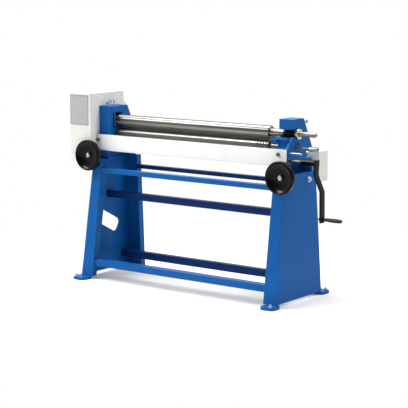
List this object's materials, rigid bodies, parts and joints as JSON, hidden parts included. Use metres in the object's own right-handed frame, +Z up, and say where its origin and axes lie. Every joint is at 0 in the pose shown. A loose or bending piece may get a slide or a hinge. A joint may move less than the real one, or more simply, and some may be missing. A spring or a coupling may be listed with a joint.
{
  "type": "slip roll machine",
  "caption": "Hand-cranked slip roll for sheet metal on a folded blue stand, with swing-out upper roll, gear drive and front handwheels.",
  "frame": {"origin": "on the floor, below the middle of the machine's box", "axes": "+X right as seen from the front, along the rolls to the crank; +Y to the rear; +Z up"},
  "size_m": [1.791, 0.582, 1.057],
  "materials": {
    "white_panel": "satin white enamel",
    "pale_grey": "satin pale grey enamel",
    "label_plate": "bare anodised plate",
    "blue_paint": "satin blue enamel",
    "navy_paint": "satin dark blue enamel",
    "ground_steel": "ground and polished steel",
    "bronze": "plain bearing bronze",
    "zinc_plate": "yellow zinc plated steel",
    "black_plastic": "moulded black plastic",
    "black_paint": "black enamel",
    "dark_steel": "dark oiled steel",
    "bright_steel": "machined steel"
  },
  "bodies": {
    "root": {"left_leg_frame": "blue_paint", "left_front_foot": "navy_paint", "left_rear_foot": "navy_paint", "left_front_foot_bolt": "bright_steel", "left_rear_foot_bolt": "bright_steel", "left_upright": "blue_paint", "left_shaft_bush": "bronze", "left_adjuster_box": "black_paint", "left_panel_bolt": "bright_steel", "right_leg_frame": "blue_paint", "right_front_foot": "navy_paint", "right_rear_foot": "navy_paint", "right_front_foot_bolt": "bright_steel", "right_rear_foot_bolt": "bright_steel", "right_upright": "blue_paint", "right_shaft_bush": "bronze", "right_adjuster_box": "black_paint", "right_panel_bolt": "bright_steel", "top_rear_bar": "navy_paint", "top_front_bar": "navy_paint", "middle_bar": "navy_paint", "bottom_rear_bar": "navy_paint", "bottom_front_bar": "navy_paint", "upper_roll_saddle": "blue_paint", "gear_cover": "pale_grey", "gear_cover_back": "pale_grey", "cover_plate": "label_plate", "cover_screw": "bright_steel", "front_panel": "white_panel", "rear_guard": "pale_grey", "rear_top_bolt": "bright_steel", "leg_side_bolt": "bright_steel"},
    "upper_swing": {"upper_swivel_bearing": "dark_steel"},
    "upper_roll": {"upper_roll": "ground_steel", "upper_roll_gear": "dark_steel", "upper_roll_collar": "zinc_plate"},
    "lower_carrier": {"left_lower_bearing": "dark_steel", "right_lower_bearing": "dark_steel"},
    "lower_roll": {"lower_roll": "ground_steel", "lower_roll_gear": "dark_steel", "drive_gear": "dark_steel", "lower_roll_sleeve": "bright_steel"},
    "rear_carrier": {"left_rear_bearing": "dark_steel", "right_rear_bearing": "dark_steel"},
    "rear_roll": {"rear_roll": "ground_steel"},
    "left_rear_screw": {"left_rear_adjusting_screw": "bright_steel"},
    "right_rear_screw": {"right_rear_adjusting_screw": "bright_steel"},
    "crank_drive": {"drive_shaft": "dark_steel", "drive_pinion": "dark_steel", "crank_arm": "black_paint", "crank_grip_nut": "bright_steel"},
    "crank_grip": {"crank_grip": "black_plastic"},
    "left_wheel": {"left_handwheel": "black_paint", "left_handwheel_shaft": "bright_steel"},
    "right_wheel": {"right_handwheel": "black_paint", "right_handwheel_shaft": "bright_steel"},
    "wing_screw": {"wing_screw": "bright_steel"},
    "lock_pin": {"lock_pin": "bright_steel"}
  },
  "joints": [
    {"name": "upper_roll_swing", "type": "hinge", "parent": "root", "child": "upper_swing", "pos_m": [-0.688, 0, 0.898], "axis": [0, 0, -1], "range_deg": [0, 4]},
    {"name": "upper_roll_turn", "type": "hinge", "parent": "upper_swing", "child": "upper_roll", "pos_m": [-0.0795, 0, 0.898], "axis": [1, 0, 0], "continuous": true},
    {"name": "lower_roll_lift", "type": "slide", "parent": "root", "child": "lower_carrier", "axis": [0, 0, 1], "range_m": [0, 0.004]},
    {"name": "lower_roll_turn", "type": "hinge", "parent": "lower_carrier", "child": "lower_roll", "pos_m": [-0.0795, 0, 0.823], "axis": [1, 0, 0], "continuous": true},
    {"name": "rear_roll_slide", "type": "slide", "parent": "root", "child": "rear_carrier", "axis": [0, -0.7071, 0.7071], "range_m": [0, 0.008]},
    {"name": "rear_roll_turn", "type": "hinge", "parent": "rear_carrier", "child": "rear_roll", "pos_m": [-0.0795, 0.082, 0.85], "axis": [1, 0, 0], "continuous": true},
    {"name": "left_rear_screw_turn", "type": "hinge", "parent": "rear_carrier", "child": "left_rear_screw", "pos_m": [-0.688, 0.082, 0.85], "axis": [0, -0.7071, 0.7071], "range_deg": [-2, 1442]},
    {"name": "right_rear_screw_turn", "type": "hinge", "parent": "rear_carrier", "child": "right_rear_screw", "pos_m": [0.529, 0.082, 0.85], "axis": [0, -0.7071, 0.7071], "range_deg": [-2, 1442]},
    {"name": "crank_turn", "type": "hinge", "parent": "root", "child": "crank_drive", "pos_m": [0.6475, -0.07, 0.762], "axis": [1, 0, 0], "continuous": true},
    {"name": "grip_turn", "type": "hinge", "parent": "crank_drive", "child": "crank_grip", "pos_m": [0.7835, -0.07, 0.472], "axis": [1, 0, 0], "continuous": true},
    {"name": "left_wheel_turn", "type": "hinge", "parent": "root", "child": "left_wheel", "pos_m": [-0.7385, -0.175, 0.706], "axis": [0, 1, 0], "range_deg": [-2, 722]},
    {"name": "right_wheel_turn", "type": "hinge", "parent": "root", "child": "right_wheel", "pos_m": [0.5795, -0.175, 0.684], "axis": [0, 1, 0], "range_deg": [-2, 722]},
    {"name": "wing_screw_turn", "type": "hinge", "parent": "root", "child": "wing_screw", "pos_m": [-0.6995, 0, 0.9843], "axis": [0, 0, 1], "range_deg": [0, 360]},
    {"name": "lock_pin_slide", "type": "slide", "parent": "root", "child": "lock_pin", "axis": [1, 0, 0], "range_m": [0, 0.03]}
  ],
  "couplings": [
    {"joint": "upper_roll_turn", "follows": "lower_roll_turn", "ratio": -1},
    {"joint": "crank_turn", "follows": "lower_roll_turn", "ratio": -2.4444},
    {"joint": "left_wheel_turn", "follows": "lower_roll_lift", "rad_per_m": 3141.6},
    {"joint": "right_wheel_turn", "follows": "lower_roll_lift", "rad_per_m": 3141.6},
    {"joint": "left_rear_screw_turn", "follows": "rear_roll_slide", "rad_per_m": 3141.6},
    {"joint": "right_rear_screw_turn", "follows": "rear_roll_slide", "rad_per_m": 3141.6}
  ]
}
